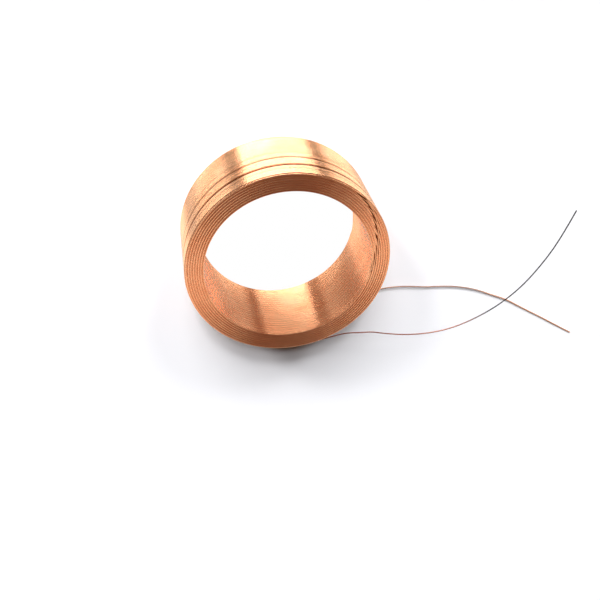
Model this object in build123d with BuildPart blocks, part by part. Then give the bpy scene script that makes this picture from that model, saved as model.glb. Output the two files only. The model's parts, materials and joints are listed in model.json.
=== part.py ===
from build123d import *
import os
from math import cos, radians, sin, sqrt, tan

# High frequency coil: a self-supporting air-core winding of fine enamelled copper wire. Its
# turns are bonded to each other, and its two wire ends are led out to the same side.
# Lengths are in millimetres and angles in degrees, counted from +X towards +Y. The origin is
# on the axis of the bore, in the end that the coil stands on, and +Z points to the other end.

# Wire
conductor_dia = 0.140
coat_build = 0.024  # enamel and bonding coat together, on the diameter

# Winding: each full layer carries a nested layer, one turn shorter, in the hollows between
# its turns. The last nested layer is the outer wall.
bore_dia = 20.0
layer_pairs = 8
full_turns = 60

# End faces: every full layer's last turn stands up as a ridge. The coil rests on the one that
# runs round the middle of the winding, which has a narrow land.
land_width = 0.060

# Outer turns that stand apart: turns in from the top end, and the opening at the wall
parted_turns = (
    (12, 0.20),
    (24, 0.13),
)

# Slits in the top face, where the wire crosses from one layer to the next: middle angle,
# layer at the middle, angle swept and layers climbed
crossing_slits = (
    (24.0, 6.5, 6.0, 0.4),
    (32.5, 9.3, 9.0, 0.6),
    (39.0, 11.4, 11.0, 0.8),
    (51.0, 14.0, 17.0, 2.4),
)
slit_width = 0.12
slit_depth = 0.25

# Wire ends: where each leaves the wall, how many turns in from its end of the coil, and its
# route from there as (along the tangent, towards the axis, up) from the point that it leaves
seat_gap = 0.005  # between a wire end and the wall that it leaves
finish_angle = 289.5
finish_turns_in = 2
finish_route = (
    (0.0, 0.0, 0.0),
    (5.6, 0.0, 0.03),
    (15.2, -4.4, 0.05),
    (23.9, -3.7, -0.08),
    (31.2, 1.2, -0.18),
    (35.74, 8.62, -0.25),
)
start_angle = 281.25
start_turns_in = 3
start_route = (
    (0.0, 0.0, 0.0),
    (16.1, 0.05, -0.1),
    (26.8, -2.25, -0.2),
    (32.7, -5.65, -0.3),
    (44.3, -14.57, -0.36),
)
bend_share = 0.40  # of the shorter run beside a bend that its arc takes up

# Sizes that follow from the wire and the count of turns
wire_dia = conductor_dia + coat_build
wire_r = wire_dia / 2
layer_pitch = wire_dia * sqrt(3) / 2
bore_r = bore_dia / 2
outer_r = bore_r + wire_dia + (2 * layer_pairs - 1) * layer_pitch
coil_length = full_turns * wire_dia


def layer_r(layer):
    """Radius at the middle of a layer's wire, where layer 1 lies on the bore."""
    return bore_r + wire_r + (layer - 1) * layer_pitch


def end_relief():
    """Radius and depth below the end face, from the bore wall out to the outer wall."""
    relief = [(bore_r, wire_r)]
    for pair in range(layer_pairs):
        full_r = layer_r(2 * pair + 1)
        if pair == layer_pairs // 2:
            relief.append((full_r - land_width / 2, 0))
            relief.append((full_r + land_width / 2, 0))
        else:
            relief.append((full_r, 0))
        relief.append((layer_r(2 * pair + 2), wire_r))
    relief.append((outer_r, wire_dia))
    return relief


def wall_grooves():
    """Radius and height along the outer wall, upwards, one V for each pair of parted turns."""
    grooves = []
    for turns_in, opening in reversed(parted_turns):
        height = coil_length - wire_r - turns_in * wire_dia
        grooves.append((outer_r, height - opening / 2))
        grooves.append((outer_r - layer_pitch, height))
        grooves.append((outer_r, height + opening / 2))
    return grooves


def polar(radius, angle):
    """Point at a radius and an angle about the axis."""
    return (radius * cos(radians(angle)), radius * sin(radians(angle)))


def bend_radii(route):
    """Radius of each bend of a route, as large as the runs beside it allow."""
    radii = []
    for before, bend, after in zip(route, route[1:], route[2:]):
        run_in = Vector(*bend) - Vector(*before)
        run_out = Vector(*after) - Vector(*bend)
        half_turn = radians(run_in.get_angle(run_out)) / 2
        radii.append(bend_share * min(run_in.length, run_out.length) / tan(half_turn))
    return radii


def wire_end(angle, height, route):
    """Wire that leaves the outer wall at a tangent and then holds its own bent shape."""
    leave_x, leave_y = polar(outer_r + seat_gap + wire_r, angle)
    tangent = (-sin(radians(angle)), cos(radians(angle)), 0)
    leaving = Plane(origin=(leave_x, leave_y, height), x_dir=tangent, z_dir=(0, 0, 1))
    with BuildPart() as wire:
        with BuildLine(leaving) as path:
            FilletPolyline(*route, radius=bend_radii(route))
        with BuildSketch(Plane(origin=path.line @ 0, z_dir=path.line % 0)):
            Circle(wire_r)
        sweep(path=path.line)
    return wire.part


os.makedirs("parts", exist_ok=True)

# Bonded turns
with BuildPart() as winding:
    with BuildSketch(Plane.XZ):
        with BuildLine():
            bottom_end = end_relief()
            top_end = [(radius, coil_length - depth) for radius, depth in reversed(bottom_end)]
            Polyline(*bottom_end, *wall_grooves(), *top_end, close=True)
        make_face()
    revolve(axis=Axis.Z)
    with BuildSketch(Plane.XY.offset(coil_length)):
        for middle_angle, layer, swept, climbed in crossing_slits:
            inner_tip = polar(layer_r(layer - climbed / 2), middle_angle - swept / 2)
            outer_tip = polar(layer_r(layer + climbed / 2), middle_angle + swept / 2)
            with BuildLine():
                ThreePointArc(inner_tip, polar(layer_r(layer) + slit_width / 2, middle_angle), outer_tip)
                ThreePointArc(outer_tip, polar(layer_r(layer) - slit_width / 2, middle_angle), inner_tip)
            make_face()
    extrude(amount=-slit_depth, mode=Mode.SUBTRACT)
winding.part.label = "winding"
export_step(winding.part, "parts/winding.step")

# Wire end of the outermost layer, near the top end
finish_lead = wire_end(finish_angle, coil_length - finish_turns_in * wire_dia, finish_route)
finish_lead.label = "finish_lead"
export_step(finish_lead, "parts/finish_lead.step")

# Wire end of the innermost layer, near the end that the coil stands on
start_lead = wire_end(start_angle, start_turns_in * wire_dia, start_route)
start_lead.label = "start_lead"
export_step(start_lead, "parts/start_lead.step")

print("outer diameter", round(2 * outer_r, 3), "length", round(coil_length, 3))
print("finish lead bends", [round(radius, 1) for radius in bend_radii(finish_route)])
print("start lead bends", [round(radius, 1) for radius in bend_radii(start_route)])
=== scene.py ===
import json
from math import cos, pi, radians, sin, sqrt

import bpy
from mathutils import Matrix, Vector


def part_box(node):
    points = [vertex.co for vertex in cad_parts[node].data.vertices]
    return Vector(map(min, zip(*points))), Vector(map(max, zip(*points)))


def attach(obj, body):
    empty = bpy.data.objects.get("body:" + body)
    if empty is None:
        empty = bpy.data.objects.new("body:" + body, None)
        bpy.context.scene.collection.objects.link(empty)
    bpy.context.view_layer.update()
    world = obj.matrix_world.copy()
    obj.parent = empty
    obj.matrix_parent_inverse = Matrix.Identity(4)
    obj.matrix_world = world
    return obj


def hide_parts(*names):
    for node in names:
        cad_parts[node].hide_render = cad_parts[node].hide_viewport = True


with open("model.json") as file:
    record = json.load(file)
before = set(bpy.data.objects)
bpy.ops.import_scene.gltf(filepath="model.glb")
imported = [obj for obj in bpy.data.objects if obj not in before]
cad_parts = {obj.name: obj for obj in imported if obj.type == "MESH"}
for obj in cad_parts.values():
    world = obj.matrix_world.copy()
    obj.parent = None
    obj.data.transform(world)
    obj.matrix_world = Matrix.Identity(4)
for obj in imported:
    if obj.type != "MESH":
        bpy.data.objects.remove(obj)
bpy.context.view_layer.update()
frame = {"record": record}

# High frequency coil: a ring of bonded turns of fine enamelled copper wire, standing on one end,
# with its two wire ends led out to the same side. Lengths are in metres in the part's frame,
# and a place along the wire is counted in laps round the coil, with lap 0 on the +X side.

MM = 0.001
LAP = 360.0

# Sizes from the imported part
mounts = {mount["name"]: mount for mount in frame["record"]["mounts"]}
outer_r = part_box("winding")[1].x
coil_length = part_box("winding")[1].z
bore_r = mounts["bore"]["dims"]["r_mm"] * MM
wire_r = mounts["start_tip"]["dims"]["r_mm"] * MM
wire_dia = 2 * wire_r
layer_pitch = wire_r * sqrt(3)
layer_pairs = round(((outer_r - bore_r - wire_dia) / layer_pitch + 1) / 2)

# Crossings, where a turn steps to the next one or out to the next layer
crossing_lap = 0.0 / LAP  # in the first layer
crossing_drift = 3.5 / LAP  # further round in each layer
crossing_width = 10.0 / LAP
widths_from = 0.5  # at an end, each crossing's width is drawn from this share of crossing_width
widths_spread = 0.9  # up to this much more

# Slits that crossings leave between the ridges of an end: the middle angle, the layer at the
# middle, the angle swept and the layers climbed
crossing_slits = {
    "First Slit": (24.0, 6.5, 6.0, 0.4),
    "Second Slit": (32.5, 9.3, 9.0, 0.6),
    "Third Slit": (39.0, 11.4, 11.0, 0.8),
    "Fourth Slit": (51.0, 14.0, 17.0, 2.4),
}
slit_opening = 0.125 * MM
slit_edge = 0.02 * MM  # to each side of a slit's middle, where the turns part
slit_reach = 0.45 * MM  # how far to each side the turns make way
slit_taper = 0.3  # share of its sweep over which a slit opens, and over which it closes again

# Outer wall: the turns that stand apart, as depths below the top end, and their openings
parted_turns = {
    "First Parting": (1.10 * MM, 0.080 * MM),
    "Second Parting": (1.90 * MM, 0.340 * MM),
    "Third Parting": (3.90 * MM, 0.230 * MM),
    "Fourth Parting": (5.30 * MM, 0.090 * MM),
}
parting_sink = 0.13  # how far the turn below one has slipped inwards, as a share of the opening

wall_inset = 0.004 * MM  # keeps the uneven outer turns inside the part
wall_end = 12.0 / LAP  # how far before the finish lead's place the last outer turn ends

# Bore
bore_fill = 1.15  # its turns are drawn thicker, as their bonding coat fills their hollows
bore_pitch = wire_dia * 0.993
bore_settling = 0.012 * MM  # how much nearer to the axis, or further from it, turns sit in waves
settling_wave = 2.8  # turns in one such wave
settling_wander = 0.35  # how far a wave wanders on its way round

# How far turns stray from their places, and how quickly round the coil and from turn to turn
bore_stray = 0.002 * MM
wall_stray = 0.0015 * MM
end_stray = 0.005 * MM
stray_round = 1.6
stray_across = 0.83

# Depths over which the copper darkens into the hollows between the turns: painted shade, which also
# stands for the bonding coat gathered there
hollow_shade_starts = 0.035 * MM
hollow_shade_ends = 0.085 * MM
bore_shade_allowance = 0.05 * MM  # that much deeper in the bore, whose turns are drawn thicker
end_shade_allowance = 0.06 * MM

# Wire ends, as in the part's source: where each leaves the wall, and its route from there in
# millimetres along the tangent, towards the axis and up
seat_gap = 0.005 * MM
finish_angle = 289.5
finish_height = coil_length - 2 * wire_dia
finish_route = (
    (-5.2, 1.30, 0.0),
    (-3.4, 0.65, 0.0),
    (-1.6, 0.28, 0.0),
    (0.4, 0.12, 0.0),
    (2.6, 0.02, 0.0),
    (4.8, 0.0, 0.02),
    (6.6, -0.62, 0.03),
    (8.2, -1.05, 0.03),
    (9.6, -1.85, 0.04),
    (12.2, -3.05, 0.05),
    (15.4, -3.98, 0.04),
    (18.7, -4.28, 0.0),
    (22.1, -3.75, -0.05),
    (25.4, -2.6, -0.08),
    (28.7, -0.58, -0.13),
    (32.0, 2.75, -0.19),
    (34.2, 5.9, -0.23),
    (35.74, 8.62, -0.25),
)
start_angle = 281.25
start_height = 3 * wire_dia
start_route = (
    (-3.0, 0.55, 0.0),
    (-1.4, 0.26, 0.0),
    (1.0, 0.06, 0.0),
    (5.0, 0.0, -0.03),
    (9.0, 0.0, -0.05),
    (12.6, -0.04, -0.08),
    (14.8, 0.08, -0.1),
    (17.6, -0.3, -0.12),
    (20.0, -0.95, -0.15),
    (22.8, -1.32, -0.17),
    (25.2, -1.9, -0.19),
    (27.8, -2.9, -0.22),
    (30.2, -4.3, -0.25),
    (32.8, -5.75, -0.29),
    (35.4, -7.8, -0.31),
    (38.3, -9.95, -0.33),
    (41.2, -12.2, -0.34),
    (44.3, -14.57, -0.36),
)

# The wire of each pair of layers that is drawn at an end, in laps
end_laps = 2.10
before_crossing = 0.03  # how far before its crossing it starts

# The ring that stands for the turns packed between the others
packed_depth = 2.2 * wire_dia  # in from each end
packed_from = 1.6  # the layer that its bore lies at
packed_past = 0.6 * wire_r  # how far it reaches past the middle of the last layer but one

# How finely the wire is drawn, in steps for each lap and sides round its section
wall_steps = 96
end_steps = 180
packed_steps = 288
turn_sides = 16
end_sides = 12
lead_step = 0.22 * MM  # along a wire end


class Value:
    """A number inside a node tree, so that a formula there reads as one."""

    def __init__(self, tree, socket):
        self.tree = tree
        self.socket = socket

    def math(self, operation, *others):
        node = self.tree.nodes.new("ShaderNodeMath")
        node.operation = operation
        for socket, value in zip(node.inputs, (self, *others)):
            put(self.tree, value, socket)
        return Value(self.tree, node.outputs[0])

    def __add__(self, other):
        return self.math("ADD", other)

    def __sub__(self, other):
        return self.math("SUBTRACT", other)

    def __mul__(self, other):
        return self.math("MULTIPLY", other)

    def __truediv__(self, other):
        return self.math("DIVIDE", other)

    def eased(self, start, end):
        """0 before start, 1 after end, and a soft S between them."""
        node = self.tree.nodes.new("ShaderNodeMapRange")
        node.interpolation_type = "SMOOTHSTEP"
        put(self.tree, self, node.inputs["Value"])
        put(self.tree, start, node.inputs["From Min"])
        put(self.tree, end, node.inputs["From Max"])
        return Value(self.tree, node.outputs["Result"])


def put(tree, value, socket):
    """Sets a node's input to a number or links it to another node's output."""
    if isinstance(value, Value):
        value = value.socket
    if isinstance(value, bpy.types.NodeSocket):
        tree.links.new(value, socket)
    else:
        socket.default_value = value


def add_node(tree, kind, inputs=(), **settings):
    """A new node with its settings and its inputs, which are given by name or number."""
    node = tree.nodes.new(kind)
    for name, value in settings.items():
        setattr(node, name, value)
    for name, value in dict(inputs).items():
        put(tree, value, node.inputs[name])
    return node


def new_tree(name, inputs):
    """A Geometry Nodes tree with named inputs, and the values of those inputs inside it."""
    tree = bpy.data.node_groups.new(name, "GeometryNodeTree")
    tree.interface.new_socket("Geometry", in_out="OUTPUT", socket_type="NodeSocketGeometry")
    for label, kind in inputs.items():
        tree.interface.new_socket(label, in_out="INPUT", socket_type="NodeSocket" + kind)
    outputs = tree.nodes.new("NodeGroupInput").outputs
    return tree, {label: Value(tree, outputs[label]) for label in inputs}


def each_with(labels, *endings):
    """Names of number inputs, one for each label with each ending."""
    return {label + ending: "Float" for label in labels for ending in endings}


def draw_wire(tree, curve, radius, sides, material):
    """Gives a curve the wire's round section and closes the tree."""
    upright = add_node(tree, "GeometryNodeSetCurveNormal", {"Curve": curve}, mode="Z_UP")
    section = add_node(tree, "GeometryNodeCurvePrimitiveCircle", {
        "Resolution": sides, "Radius": radius})
    tube = add_node(tree, "GeometryNodeCurveToMesh", {
        "Curve": upright.outputs[0], "Profile Curve": section.outputs[0], "Fill Caps": True})
    smooth = add_node(tree, "GeometryNodeSetShadeSmooth", {"Geometry": tube.outputs[0]})
    real = add_node(tree, "GeometryNodeRealizeInstances", {"Geometry": smooth.outputs[0]})
    finished = add_node(tree, "GeometryNodeSetMaterial", {
        "Geometry": real.outputs[0], "Material": material})
    output = tree.nodes.new("NodeGroupOutput")
    tree.links.new(finished.outputs[0], output.inputs[0])


def place_round_axis(tree, curve, laps, radius, height):
    """Moves a curve's points to cylindrical places about the coil's axis."""
    angle = laps * (2 * pi)
    place = add_node(tree, "ShaderNodeCombineXYZ", {
        "X": angle.math("COSINE") * radius, "Y": angle.math("SINE") * radius, "Z": height})
    moved = add_node(tree, "GeometryNodeSetPosition", {
        "Geometry": curve, "Position": place.outputs[0]})
    return moved.outputs[0]


def unevenness(tree, laps, turn, seed):
    """Noise from about -1 to 1, slow along a turn and quick from turn to turn."""
    angle = laps * (2 * pi)
    place = add_node(tree, "ShaderNodeCombineXYZ", {
        "X": angle.math("COSINE") * stray_round, "Y": angle.math("SINE") * stray_round,
        "Z": turn * stray_across + seed})
    noise = add_node(tree, "ShaderNodeTexNoise", {
        "Vector": place.outputs[0], "Scale": 1.0, "Detail": 2.0, "Roughness": 0.55})
    return (Value(tree, noise.outputs[0]) - 0.5) * 3.0


def layer_tree():
    """One layer of turns, side by side, each of which steps up to the next at the crossing."""
    tree, value = new_tree("wound_layer", {
        "Radius": "Float", "Wire Radius": "Float", "First Height": "Float", "Turn Pitch": "Float",
        "Start Lap": "Float", "Laps": "Float", "Crossing Lap": "Float", "Crossing Width": "Float",
        "Steps": "Int", "Sides": "Int", "Unevenness": "Float", "Settling": "Float", "Seed": "Float",
        **each_with(parted_turns, " Turn", " Opening"), "Material": "Material"})
    line = tree.nodes.new("GeometryNodeCurvePrimitiveLine")
    points = add_node(tree, "GeometryNodeResampleCurve", {
        "Curve": line.outputs[0], "Count": value["Laps"] * value["Steps"] + 1})
    index = Value(tree, tree.nodes.new("GeometryNodeInputIndex").outputs[0])
    laps = index / value["Steps"] + value["Start Lap"]
    since_crossing = laps - value["Crossing Lap"]
    whole = since_crossing.math("FLOOR")
    turn = whole + (since_crossing - whole).eased(0.0, value["Crossing Width"])
    height = value["First Height"] + turn * value["Turn Pitch"]
    radius = value["Radius"]
    for label in parted_turns:
        from_parting = turn - value[label + " Turn"]
        height = height + from_parting.eased(-1.0, 0.0) * value[label + " Opening"]
        next_below = (from_parting + 1.0).math("ABSOLUTE").eased(0.9, 0.2)
        radius = radius - next_below * value[label + " Opening"] * parting_sink
    uneven = unevenness(tree, laps, turn, value["Seed"])
    wandering = (laps * (4 * pi)).math("SINE") * settling_wander
    settled = (turn * (2 * pi / settling_wave) + wandering).math("SINE")
    radius = radius + uneven * value["Unevenness"] + settled * value["Settling"]
    height = height + unevenness(tree, laps, turn, value["Seed"] + 11.0) * value["Unevenness"]
    curve = place_round_axis(tree, points.outputs[0], laps, radius, height)
    draw_wire(tree, curve, value["Wire Radius"], value["Sides"], value["Material"])
    return tree


def made_way(radius, laps, value, label):
    """How far a turn gives way beside a slit: outwards on its outer side, inwards on its inner."""
    share = (laps.math("FRACT") - value[label + " Start"]) / value[label + " Sweep"]
    opened = share.eased(0.0, slit_taper) * share.eased(1.0, 1.0 - slit_taper)
    middle = value[label + " Radius"] + share * value[label + " Climb"]
    beside = radius - middle
    side = beside.eased(-slit_edge, slit_edge) - 0.5
    return side * opened * beside.math("ABSOLUTE").eased(slit_reach, 0.0) * slit_opening


def end_tree():
    """The last turns of every pair of layers, which make the ridges and slits of one end."""
    tree, value = new_tree("end_turns", {
        "Pairs": "Int", "First Radius": "Float", "Layer Pitch": "Float", "Wire Radius": "Float",
        "End Height": "Float", "Outwards": "Float", "Crossing Lap": "Float",
        "Crossing Drift": "Float", "Crossing Width": "Float", "Outermost": "Float",
        **each_with(crossing_slits, " Start", " Sweep", " Radius", " Climb"),
        "Steps": "Int", "Sides": "Int", "Unevenness": "Float", "Seed": "Int",
        "Material": "Material"})
    line = tree.nodes.new("GeometryNodeCurvePrimitiveLine")
    points = add_node(tree, "GeometryNodeResampleCurve", {
        "Curve": line.outputs[0], "Count": value["Steps"] * end_laps + 1})
    pairs = add_node(tree, "GeometryNodeMeshLine", {"Count": value["Pairs"]})
    copies = add_node(tree, "GeometryNodeInstanceOnPoints", {
        "Points": pairs.outputs[0], "Instance": points.outputs[0]})
    curves = add_node(tree, "GeometryNodeRealizeInstances", {"Geometry": copies.outputs[0]})
    of_point = tree.nodes.new("GeometryNodeCurveOfPoint")
    pair = Value(tree, of_point.outputs["Curve Index"])
    step = Value(tree, of_point.outputs["Index in Curve"])
    chance = add_node(tree, "FunctionNodeRandomValue", {"ID": pair, "Seed": value["Seed"]})
    drawn = Value(tree, chance.outputs["Value"]) * widths_spread + widths_from
    width = value["Crossing Width"] * drawn
    along = step / value["Steps"] - before_crossing
    crossing = value["Crossing Lap"] + value["Crossing Drift"] * pair * 2.0
    laps = along + crossing

    # The wire rises into the ridge, steps out to the next layer a lap later, half a turn lower,
    # and sinks out of sight after one more
    risen = along.eased(0.0, width)
    begins, ends = width * -0.5, width * 0.3
    stepped_out = along.eased(begins + 1.0, ends + 1.0)
    sunk = along.eased(begins + 2.0, ends + 2.0)
    wire = value["Wire Radius"]
    depth = wire * 3.0 - risen * wire * 2.0 + stepped_out * wire + sunk * wire * 2.0

    # It may lie a little too deep, but hardly ever stands above its end
    uneven = unevenness(tree, along, pair * 3.0 + stepped_out, 4.0)
    depth = depth + (uneven + 1.2) * value["Unevenness"] * 0.5
    height = value["End Height"] - depth * value["Outwards"]
    uneven = unevenness(tree, along, pair * 3.0 + stepped_out, 9.0)
    radius = value["First Radius"] + (pair * 2.0 + stepped_out) * value["Layer Pitch"]
    radius = radius + uneven * value["Unevenness"]
    for label in crossing_slits:
        radius = radius + made_way(radius, laps, value, label)
    radius = radius.math("MINIMUM", value["Outermost"])
    curve = place_round_axis(tree, curves.outputs[0], laps, radius, height)
    draw_wire(tree, curve, value["Wire Radius"], value["Sides"], value["Material"])
    return tree


def lead_tree():
    """A free stretch of wire along a route, each point of which keeps how far along it is."""
    tree, value = new_tree("free_wire", {
        "Route": "Object", "Wire Radius": "Float", "Step": "Float", "Sides": "Int",
        "Material": "Material"})
    route = add_node(tree, "GeometryNodeObjectInfo", {"Object": value["Route"]})
    points = add_node(tree, "GeometryNodeResampleCurve", {
        "Curve": route.outputs["Geometry"], "Length": value["Step"]}, mode="LENGTH")
    factor = tree.nodes.new("GeometryNodeSplineParameter")
    kept = add_node(tree, "GeometryNodeStoreNamedAttribute", {
        "Geometry": points.outputs[0], "Name": "along", "Value": factor.outputs["Factor"]},
        data_type="FLOAT", domain="POINT")
    draw_wire(tree, kept.outputs[0], value["Wire Radius"], value["Sides"], value["Material"])
    return tree


def grow(name, tree, inputs):
    """Runs a tree with these inputs and returns its result as a plain mesh object."""
    maker = bpy.data.objects.new(name + "_maker", bpy.data.meshes.new(name + "_maker"))
    bpy.context.scene.collection.objects.link(maker)
    modifier = maker.modifiers.new("turns", "NODES")
    modifier.node_group = tree
    for item in tree.interface.items_tree:
        if item.in_out == "INPUT" and item.name in inputs:
            modifier[item.identifier] = inputs[item.name]
    depsgraph = bpy.context.evaluated_depsgraph_get()
    mesh = bpy.data.meshes.new_from_object(maker.evaluated_get(depsgraph), depsgraph=depsgraph)
    maker.modifiers.remove(modifier)
    bpy.data.objects.remove(maker)
    mesh.name = name
    piece = bpy.data.objects.new(name, mesh)
    bpy.context.scene.collection.objects.link(piece)
    return piece


def new_material(name):
    """A material with its tree, emptied but for a linked shader and output."""
    material = bpy.data.materials.new(name)
    material.use_nodes = True
    tree = material.node_tree
    tree.nodes.clear()
    output = tree.nodes.new("ShaderNodeOutputMaterial")
    shader = tree.nodes.new("ShaderNodeBsdfPrincipled")
    tree.links.new(shader.outputs[0], output.inputs["Surface"])
    return material, tree, shader


def ramp(tree, factor, stops):
    """A colour ramp, with its stops as (place, colour)."""
    node = add_node(tree, "ShaderNodeValToRGB", {"Fac": factor})
    elements = node.color_ramp.elements
    while len(elements) < len(stops):
        elements.new(1.0)
    for element, (place, colour) in zip(elements, stops):
        element.position = place
        element.color = (*colour, 1.0)
    return node.outputs["Color"]


def enamelled_copper():
    """Bright enamelled copper, a little warmer or duller from turn to turn, and darker in the
    hollows: painted shade there, and the bonding coat that has gathered there."""
    material, tree, shader = new_material("enamelled_copper")
    per_turn = 3600.0  # scale of the streaks, which change from each turn to the next
    # Painted shade in the hollows between the turns, which also stands for the bonding coat
    # gathered there
    hollow_shade_and_coat = (0.42, 0.13, 0.045, 1.0)
    place = tree.nodes.new("ShaderNodeTexCoord").outputs["Object"]
    drift = add_node(tree, "ShaderNodeTexNoise", {
        "Vector": place, "Scale": 260.0, "Detail": 3.0, "Roughness": 0.6})
    parts = add_node(tree, "ShaderNodeSeparateXYZ", {0: place})
    x, y, z = (Value(tree, parts.outputs[axis]) for axis in range(3))
    from_axis = (x * x + y * y).math("SQRT")
    along_turns = add_node(tree, "ShaderNodeCombineXYZ", {
        "X": x / from_axis * 2.0, "Y": y / from_axis * 2.0, "Z": z * per_turn})
    streaks = add_node(tree, "ShaderNodeTexNoise", {
        "Vector": along_turns.outputs[0], "W": from_axis * per_turn, "Scale": 1.0,
        "Detail": 2.0}, noise_dimensions="4D")
    mixed = Value(tree, drift.outputs[0]) * 0.75 + Value(tree, streaks.outputs[0]) * 0.25
    colour = ramp(tree, mixed, (
        (0.35, (0.90, 0.42, 0.21)), (0.50, (0.93, 0.475, 0.25)), (0.65, (0.95, 0.52, 0.29))))
    # Painted shade: the copper darkens with depth below the outer wall, the bore and the ends
    below_wall = from_axis * -1.0 + outer_r
    below_walls = below_wall.math("MINIMUM", from_axis - bore_r - bore_shade_allowance)
    below_ends = (z * -1.0 + coil_length).math("MINIMUM", z) - end_shade_allowance
    hollow_shade_mask = below_walls.math("MINIMUM", below_ends).eased(hollow_shade_starts, hollow_shade_ends)
    shade = add_node(tree, "ShaderNodeMix", data_type="RGBA")  # colours are 6, 7 and output 2
    put(tree, hollow_shade_mask, shade.inputs["Factor"])
    put(tree, colour, shade.inputs[6])
    put(tree, hollow_shade_and_coat, shade.inputs[7])
    tree.links.new(shade.outputs[2], shader.inputs["Base Color"])
    put(tree, Value(tree, streaks.outputs[0]) * 0.06 + 0.17, shader.inputs["Roughness"])
    shader.inputs["Metallic"].default_value = 1.0
    return material


def lead_wire(name, stops):
    """The same wire where it runs free, with its colour changing on the way to the tip."""
    material, tree, shader = new_material(name)
    along = add_node(tree, "ShaderNodeAttribute", attribute_name="along").outputs["Fac"]
    place = tree.nodes.new("ShaderNodeTexCoord").outputs["Object"]
    grain = add_node(tree, "ShaderNodeTexNoise", {
        "Vector": place, "Scale": 900.0, "Detail": 3.0, "Roughness": 0.6})
    frayed_along = Value(tree, grain.outputs[0]) * 0.08 + Value(tree, along) - 0.04
    tree.links.new(ramp(tree, frayed_along, stops), shader.inputs["Base Color"])
    put(tree, Value(tree, grain.outputs[0]) * 0.25 + 0.22, shader.inputs["Roughness"])
    shader.inputs["Metallic"].default_value = 0.8
    shader.inputs["Coat Weight"].default_value = 0.12
    shader.inputs["Coat Roughness"].default_value = 0.15
    return material


def wire_route(name, angle, height, route):
    """The smooth line of a wire end, from the points that it is drawn through."""
    leave_r = outer_r + seat_gap + wire_r
    outwards = Vector((cos(radians(angle)), sin(radians(angle)), 0))
    tangent = Vector((-outwards.y, outwards.x, 0))
    curve = bpy.data.curves.new(name, "CURVE")
    curve.dimensions = "3D"
    spline = curve.splines.new("NURBS")
    spline.points.add(len(route) - 1)
    for point, (along, inwards, up) in zip(spline.points, route):
        place = outwards * (leave_r - inwards * MM) + tangent * along * MM
        point.co = (place.x, place.y, height + up * MM, 1)
    spline.order_u = 3
    spline.use_endpoint_u = True
    spline.resolution_u = 12
    line = bpy.data.objects.new(name, curve)
    bpy.context.scene.collection.objects.link(line)
    return line


def ring(name, inner, outer, bottom, top, steps, material):
    """A plain ring about the axis, between two radii and two heights."""
    corners = ((inner, bottom), (outer, bottom), (outer, top), (inner, top))
    points = []
    faces = []
    for step in range(steps):
        angle = 2 * pi * step / steps
        points += [(r * cos(angle), r * sin(angle), z) for r, z in corners]
        for corner in range(4):
            this, following = 4 * step, 4 * ((step + 1) % steps)
            next_corner = (corner + 1) % 4
            faces.append((
                this + corner, following + corner, following + next_corner, this + next_corner))
    mesh = bpy.data.meshes.new(name)
    mesh.from_pydata(points, [], faces)
    mesh.materials.append(material)
    mesh.update()
    piece = bpy.data.objects.new(name, mesh)
    bpy.context.scene.collection.objects.link(piece)
    return piece


def layer_r(layer):
    """Radius at the middle of a layer's wire, where layer 1 lies on the bore."""
    return bore_r + wire_r + (layer - 1) * layer_pitch


def make_winding(copper):
    """Every turn that can be seen, and one ring for the turns packed between them."""
    wound = layer_tree()
    shared = {"Wire Radius": wire_r, "Crossing Width": crossing_width, "Steps": wall_steps,
              "Sides": turn_sides, "Material": copper}
    bore_turns = grow("bore_turns", wound, shared | {
        "Wire Radius": wire_r * bore_fill, "Radius": bore_r + wire_r * bore_fill,
        "First Height": wire_r + wire_dia, "Turn Pitch": bore_pitch,
        "Crossing Lap": crossing_lap, "Start Lap": crossing_lap - 1 + crossing_width,
        "Laps": round(coil_length / wire_dia) - 2 - crossing_width,
        "Unevenness": bore_stray, "Settling": bore_settling, "Seed": 3.0})

    wall_crossing = crossing_lap + crossing_drift * (2 * layer_pairs - 1)
    first_height = 2 * wire_dia
    span = finish_height - first_height - sum(opening for _, opening in parted_turns.values())
    steps_up = int(span / wire_dia)
    turn_pitch = span / steps_up
    parted = {}
    for label, (below_top, opening) in parted_turns.items():
        wider_above = sum(other for depth, other in parted_turns.values() if depth < below_top)
        turns_down = (below_top - (coil_length - finish_height) - wider_above) / turn_pitch
        parted[label + " Turn"] = float(steps_up - round(turns_down))
        parted[label + " Opening"] = opening
    start_lap = wall_crossing - 1 + crossing_width
    end_lap = steps_up - 1 + finish_angle / LAP - wall_end
    wall_turns = grow("wall_turns", wound, shared | parted | {
        "Radius": layer_r(2 * layer_pairs) - wall_inset, "First Height": first_height,
        "Turn Pitch": turn_pitch, "Crossing Lap": wall_crossing, "Start Lap": start_lap,
        "Laps": end_lap - start_lap, "Unevenness": wall_stray, "Settling": 0.0, "Seed": 7.0})

    slits = {}
    for label, (middle, layer, swept, climbed) in crossing_slits.items():
        slits[label + " Start"] = (middle - swept / 2) / LAP
        slits[label + " Sweep"] = swept / LAP
        slits[label + " Radius"] = layer_r(layer - climbed / 2)
        slits[label + " Climb"] = climbed * layer_pitch
    ends = end_tree()
    end_turns = []
    for name, height, outwards, seed in (
            ("top_end_turns", coil_length, 1.0, 5), ("bottom_end_turns", 0.0, -1.0, 9)):
        end_turns.append(grow(name, ends, slits | {
            "Pairs": layer_pairs, "First Radius": layer_r(1), "Layer Pitch": layer_pitch,
            "Wire Radius": wire_r, "End Height": height, "Outwards": outwards,
            "Crossing Lap": crossing_lap, "Crossing Drift": crossing_drift,
            "Crossing Width": crossing_width, "Outermost": layer_r(2 * layer_pairs),
            "Steps": end_steps, "Sides": end_sides,
            "Unevenness": end_stray, "Seed": seed, "Material": copper}))

    packed_turns = ring(
        "packed_turns", layer_r(packed_from), layer_r(2 * layer_pairs - 1) + packed_past,
        packed_depth, coil_length - packed_depth, packed_steps, copper)
    return [bore_turns, wall_turns, *end_turns, packed_turns]


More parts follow.
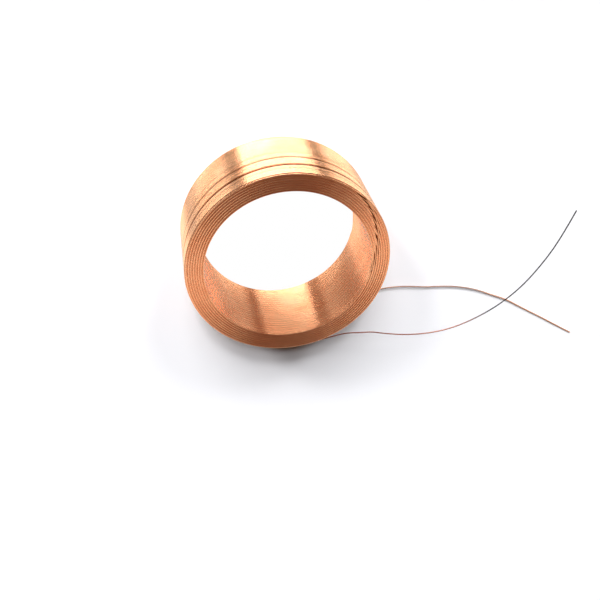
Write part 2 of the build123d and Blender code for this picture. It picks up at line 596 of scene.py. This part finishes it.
def make_leads():
    """Both wire ends."""
    free = lead_tree()
    # Each wire end changes colour along its length, between these stops
    deep_copper = (0.24, 0.09, 0.06)
    red_copper = (0.34, 0.14, 0.09)
    dark_grey = (0.045, 0.04, 0.04)
    pale_copper = (0.38, 0.21, 0.14)
    orange_copper = (0.62, 0.30, 0.17)
    leads = []
    for node, angle, height, route, stops in (
            ("finish_lead", finish_angle, finish_height, finish_route,
             ((0.25, deep_copper), (0.42, red_copper), (0.52, red_copper), (0.64, dark_grey))),
            ("start_lead", start_angle, start_height, start_route,
             ((0.0, pale_copper), (0.60, pale_copper), (0.68, orange_copper)))):
        line = wire_route(node + "_route", angle, height, route)
        piece = grow(node + "_wire", free, {
            "Route": line, "Wire Radius": wire_r, "Step": lead_step, "Sides": end_sides,
            "Material": lead_wire(node + "_wire", stops)})
        bpy.data.objects.remove(line)
        leads.append((piece, node))
    return leads


copper = enamelled_copper()
for piece in make_winding(copper):
    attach(piece, "root")
    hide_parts("winding")
for piece, node in make_leads():
    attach(piece, "root")
    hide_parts(node)

# Camera, in the photograph's place: the coil's free end faces it, and +Y is up in the picture
focal_px = 719.58
frame_px = 600
camera_place = Vector((-16.9356, 45.2398, 79.6716)) * MM
camera_right = Vector((0.97679, 0.12451, 0.17427))
camera_back = Vector((-0.21418, 0.56784, 0.79478))
camera_up = camera_back.cross(camera_right)
camera = bpy.data.objects.new("camera", bpy.data.cameras.new("camera"))
bpy.context.scene.collection.objects.link(camera)
camera.data.lens = camera.data.sensor_width * focal_px / frame_px
camera.data.clip_start = 1 * MM
camera.data.clip_end = 10.0
turned = Matrix((camera_right, camera_up, camera_back)).transposed().to_4x4()
camera.matrix_world = Matrix.Translation(camera_place) @ turned
bpy.context.scene.camera = camera


def make_floor():
    """A white table top. The camera sees it as white where no shadow falls, and inside the bore it
    is painted plain white, over the coil's shadow there."""
    half = 0.9
    just_below = 0.02 * MM  # keeps it clear of the coil's lower end
    given_back = 0.8  # share of the light that it throws back on the coil
    seen_as_more = 0.16  # added to that share in the camera's view
    cool_white = (0.985, 0.99, 1.03)
    mesh = bpy.data.meshes.new("floor")
    corners = [(-half, -half, 0), (half, -half, 0), (half, half, 0), (-half, half, 0)]
    mesh.from_pydata(corners, [], [(0, 1, 2, 3)])
    floor = bpy.data.objects.new("floor", mesh)
    bpy.context.scene.collection.objects.link(floor)
    floor.location.z = -just_below
    material = bpy.data.materials.new("white_table")
    material.use_nodes = True
    tree = material.node_tree
    tree.nodes.clear()
    output = tree.nodes.new("ShaderNodeOutputMaterial")
    seen = Value(tree, tree.nodes.new("ShaderNodeLightPath").outputs["Is Camera Ray"])
    gain = seen * seen_as_more + given_back
    shade = add_node(tree, "ShaderNodeCombineColor", {
        channel: gain * share for channel, share in enumerate(cool_white)})
    paper = add_node(tree, "ShaderNodeBsdfDiffuse", {"Color": shade.outputs[0]})
    place = add_node(tree, "ShaderNodeSeparateXYZ", {
        0: tree.nodes.new("ShaderNodeTexCoord").outputs["Object"]})
    x = Value(tree, place.outputs[0])
    y = Value(tree, place.outputs[1])
    from_axis = (x * x + y * y).math("SQRT")
    # Painted light: inside the bore the camera sees plain white emission in place of the shadow
    # that falls there
    painted_white_bore = from_axis.math("LESS_THAN", (bore_r + outer_r) / 2)
    white = add_node(tree, "ShaderNodeEmission", {"Strength": 1.0})
    mix = add_node(tree, "ShaderNodeMixShader", {
        0: painted_white_bore * seen, 1: paper.outputs[0], 2: white.outputs[0]})
    tree.links.new(mix.outputs[0], output.inputs["Surface"])
    mesh.materials.append(material)
    floor.visible_glossy = False
    floor.visible_shadow = False


def between(place, low, high, soft):
    """1 between two edges and 0 outside them, with soft sides."""
    return (place - low).eased(-soft, soft) * (place - high).eased(soft, -soft)


def make_studio():
    """The light that the copper mirrors: a pale room, one hard-edged bright panel over the
    coil's +Y side, dark gaps beside it and a dark ceiling strip. The camera sees it as plain
    white. A place in it is a direction from the coil, as x, y and z from -1 to 1."""
    world = bpy.data.worlds.new("studio")
    bpy.context.scene.world = world
    world.use_nodes = True
    tree = world.node_tree
    tree.nodes.clear()
    towards = add_node(tree, "ShaderNodeSeparateXYZ", {
        0: tree.nodes.new("ShaderNodeTexCoord").outputs["Generated"]})
    x, y, z = (Value(tree, towards.outputs[axis]) for axis in range(3))

    # The bright panel, whose sides lean apart, and the glare at its lower end
    panel_left = y * -0.625 - 0.045
    panel_right = y * 0.145 + 0.30
    panel = between(x, panel_left, panel_right, 0.02) * y.eased(0.1, 0.25)
    lowest = x * 0.363 - 0.31
    glare = panel * (z - lowest).eased(-0.05, 0.05) * z.eased(0.04, 0.0)

    # The pale table all round, brightest far off on the +Y side
    table = z.eased(-0.32, -0.06) * y.eased(-0.2, 0.3) * 4.2 + y.eased(-0.6, 0.0) * 0.3 + 0.8

    # On the left a bright stretch, and a dull one between it and the panel
    left = x.eased(-0.15, -0.7) * y.eased(-0.15, -0.38)
    dull = x.eased(-0.1, -0.4) * y.eased(0.25, 0.05) * y.eased(-0.45, -0.05)
    dull = dull * (z.eased(0.0, -0.25) * 0.6 + 0.4)
    table = table * (left * 1.1 - dull * 0.35 + 1.0)

    # The dark gaps to both sides of the panel, darker lower down
    gap_left = y * -0.84 - 0.20
    gap_right = y * 0.30 + 0.36
    gaps = between(x, gap_left, gap_right, 0.08) * y.eased(-0.1, 0.1)
    deeper = z.eased(-0.02, -0.2) * x.eased(-0.1, 0.1) * 0.12 + z.eased(-0.3, -0.6) * 0.06
    table = table * (gaps * (deeper * -1.0 - 0.70) + 1.0)
    table = table + panel * 1.6 + glare * (
        z.eased(-0.12, -0.03) * 11.0 + z.eased(-0.18, -0.30) * 2.5 + 5.0)

    # The room above the table, with its dark ceiling strip
    strip = between(x, -0.06, 0.36, 0.10)
    room = y.eased(0.34, -0.78) * (strip * -0.87 + 1.0) * (x * 1.1 + 1.3)
    room = room + left * z.eased(0.55, 0.1) * 0.6 + y.eased(0.2, 0.6) * z.eased(0.7, 0.3) * 0.25
    below = z.eased(0.15, 0.0)

    # The shaded stretch on the right, at the height where the table and the room meet
    right = x.eased(0.3, 0.65) * z.eased(-0.55, -0.35) * z.eased(0.35, 0.15)
    shaded = right * (y.eased(0.6, -0.1) * -0.68 - 0.1) + 1.0

    dim_brown = (0.10, 0.045, 0.025)  # added to the room, so that its strip isn't black
    seen = Value(tree, tree.nodes.new("ShaderNodeLightPath").outputs["Is Camera Ray"])
    shade = tree.nodes.new("ShaderNodeCombineColor")
    for channel, dim in enumerate(dim_brown):
        mirrored = (table * below + (room + dim) * (below * -1.0 + 1.0)) * shaded
        put(tree, mirrored * (seen * -1.0 + 1.0) + seen, shade.inputs[channel])
    background = add_node(tree, "ShaderNodeBackground", {
        "Color": shade.outputs[0], "Strength": 1.0})
    output = tree.nodes.new("ShaderNodeOutputWorld")
    tree.links.new(background.outputs[0], output.inputs["Surface"])
    world.cycles_visibility.diffuse = False


def make_lamp(name, energy, spread, towards, raised):
    """A distant lamp that lights the table and throws the coil's shadow on it. Its spread, its
    bearing from the coil and its height are angles in degrees."""
    lamp = bpy.data.objects.new(name, bpy.data.lights.new(name, "SUN"))
    bpy.context.scene.collection.objects.link(lamp)
    lamp.data.energy = energy
    lamp.data.angle = radians(spread)
    from_side = Vector((
        cos(radians(towards)) * cos(radians(raised)), sin(radians(towards)) * cos(radians(raised)),
        sin(radians(raised))))
    lamp.rotation_mode = "QUATERNION"
    lamp.rotation_quaternion = from_side.to_track_quat("Z", "Y")
    lamp.visible_glossy = False


make_floor()
make_studio()
make_lamp("high_lamp", energy=0.79, spread=5, towards=105, raised=47)
make_lamp("key_lamp", energy=0.89, spread=5, towards=102, raised=41)
make_lamp("wide_lamp", energy=2.54, spread=24, towards=105, raised=31)
make_lamp("left_lamp", energy=1.46, spread=10, towards=130, raised=24)
make_lamp("right_lamp", energy=0.93, spread=10, towards=75, raised=28)
bpy.context.scene.view_settings.view_transform = "Standard"
